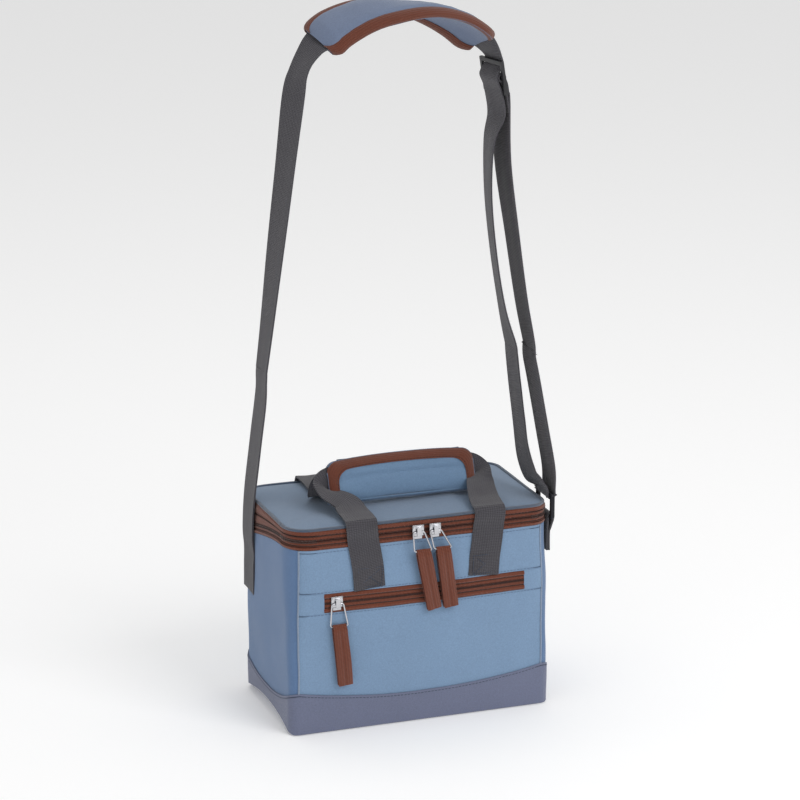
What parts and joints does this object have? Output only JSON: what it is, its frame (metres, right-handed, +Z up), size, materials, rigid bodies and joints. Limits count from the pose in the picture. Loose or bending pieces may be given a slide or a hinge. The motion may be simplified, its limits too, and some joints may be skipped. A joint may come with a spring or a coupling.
{
  "type": "insulated cooler bag",
  "caption": "Small soft-sided insulated bag with a hinged zipped lid, a zipped front pocket, carry handles joined by a padded grip, and a padded shoulder strap",
  "frame": {"origin": "middle of the base's underside, on the floor", "axes": "+X along the front to the right, +Y from the front to the back, +Z up"},
  "size_m": [0.2689, 0.1613, 0.671],
  "materials": {
    "slate_canvas": "woven polyester canvas, matt",
    "side_canvas": "woven polyester canvas, matt",
    "blue_canvas": "woven polyester canvas, matt",
    "zip_tape": "woven zip tape",
    "zip_coil": "nylon coil",
    "white_foam": "closed-cell foam",
    "foil_sheet": "foil-faced film, folded",
    "dark_webbing": "woven webbing",
    "black_steel": "black coated wire",
    "lid_canvas": "woven polyester canvas, matt",
    "dark_piping": "piping and binding tape",
    "brown_binding": "ribbed binding tape",
    "hook_and_loop": "hook and loop tape",
    "silver_metal": "bright nickel plate",
    "brown_tab": "folded ribbon",
    "black_plastic": "moulded, slightly glossy"
  },
  "bodies": {
    "bag": {"base_panel": "slate_canvas", "base_band": "slate_canvas", "gusset_left": "side_canvas", "gusset_right": "side_canvas", "front_pocket_panel": "blue_canvas", "front_upper_panel": "blue_canvas", "pocket_zip_end_left": "blue_canvas", "pocket_zip_end_right": "blue_canvas", "pocket_zip_lower_tape": "zip_tape", "pocket_zip_upper_tape": "zip_tape", "pocket_zip_coil": "zip_coil", "front_inner_wall": "slate_canvas", "back_panel": "blue_canvas", "foam_base": "white_foam", "foam_front": "white_foam", "foam_back": "white_foam", "foam_left": "white_foam", "foam_right": "white_foam", "liner_tub": "foil_sheet", "main_zip_lower_tape": "zip_tape", "main_zip_lower_coil": "zip_coil", "strap_left_lower": "dark_webbing", "strap_right_lower": "dark_webbing", "strap_ring": "black_steel", "ring_tab": "dark_webbing"},
    "lid": {"main_zip_upper_tape": "zip_tape", "main_zip_upper_coil": "zip_coil", "lid_back_collar": "side_canvas", "lid_foam": "white_foam", "lid_liner": "foil_sheet", "lid_panel": "lid_canvas", "lid_piping": "dark_piping"},
    "front_handle": {"front_handle_webbing": "dark_webbing", "grip_front_pad": "blue_canvas", "grip_front_binding": "brown_binding", "grip_hook_strip": "hook_and_loop"},
    "grip_flap": {"grip_flap": "blue_canvas", "grip_flap_binding": "brown_binding", "grip_loop_strip": "hook_and_loop"},
    "back_handle": {"back_handle_webbing": "dark_webbing"},
    "main_left_slider": {"main_left_slider": "silver_metal"},
    "main_left_pull": {"main_left_bail": "silver_metal", "main_left_tab": "brown_tab"},
    "main_right_slider": {"main_right_slider": "silver_metal"},
    "main_right_pull": {"main_right_bail": "silver_metal", "main_right_tab": "brown_tab"},
    "pocket_slider": {"pocket_slider": "silver_metal"},
    "pocket_pull": {"pocket_bail": "silver_metal", "pocket_tab": "brown_tab"},
    "shoulder_strap": {"strap_left_upper": "dark_webbing", "strap_right_outer": "dark_webbing", "strap_right_inner": "dark_webbing", "tri_glide": "black_plastic", "shoulder_pad": "blue_canvas", "pad_lining": "slate_canvas", "pad_binding_front": "dark_piping", "pad_binding_back": "dark_piping"}
  },
  "joints": [
    {"name": "lid_hinge", "type": "hinge", "parent": "bag", "child": "lid", "pos_m": [0, 0.0734, 0.167], "axis": [-1, 0, 0], "range_deg": [0, 105]},
    {"name": "front_handle_swing", "type": "hinge", "parent": "bag", "child": "front_handle", "pos_m": [0, -0.0755, 0.158], "axis": [1, 0, 0], "range_deg": [0, 205], "deforming": ["front_handle_webbing", "grip_front_pad", "grip_front_binding", "grip_hook_strip"]},
    {"name": "grip_flap_open", "type": "hinge", "parent": "front_handle", "child": "grip_flap", "pos_m": [0, -0.01541, 0.20442], "axis": [-1, 0, 0], "range_deg": [0, 85], "deforming": ["grip_flap", "grip_flap_binding", "grip_loop_strip"]},
    {"name": "back_handle_swing", "type": "hinge", "parent": "bag", "child": "back_handle", "pos_m": [0, 0.0755, 0.158], "axis": [-1, 0, 0], "range_deg": [0, 205], "deforming": ["back_handle_webbing"]},
    {"name": "main_left_slide", "type": "slide", "parent": "bag", "child": "main_left_slider", "axis": [-1, 0, 0], "range_m": [0, 0.09]},
    {"name": "main_left_pull_swing", "type": "hinge", "parent": "main_left_slider", "child": "main_left_pull", "pos_m": [-0.005, -0.08, 0.1872], "axis": [-1, 0, 0], "range_deg": [0, 150]},
    {"name": "main_right_slide", "type": "slide", "parent": "bag", "child": "main_right_slider", "axis": [1, 0, 0], "range_m": [0, 0.08]},
    {"name": "main_right_pull_swing", "type": "hinge", "parent": "main_right_slider", "child": "main_right_pull", "pos_m": [0.0117, -0.08, 0.1872], "axis": [-1, 0, 0], "range_deg": [0, 150]},
    {"name": "pocket_slide", "type": "slide", "parent": "bag", "child": "pocket_slider", "axis": [1, 0, 0], "range_m": [0, 0.175]},
    {"name": "pocket_pull_swing", "type": "hinge", "parent": "pocket_slider", "child": "pocket_pull", "pos_m": [-0.084, -0.0774, 0.1267], "axis": [-1, 0, 0], "range_deg": [0, 150]},
    {"name": "shoulder_strap_swing", "type": "hinge", "parent": "bag", "child": "shoulder_strap", "pos_m": [0, 0, 0.185], "axis": [1, 0, 0], "range_deg": [-100, 100], "deforming": ["strap_left_lower", "strap_right_lower"]}
  ],
  "couplings": [
    {"joint": "front_handle_swing", "follows": "lid_hinge", "ratio": 1.95},
    {"joint": "grip_flap_open", "follows": "lid_hinge", "ratio": 0.8},
    {"joint": "back_handle_swing", "follows": "lid_hinge", "ratio": 1.95}
  ]
}
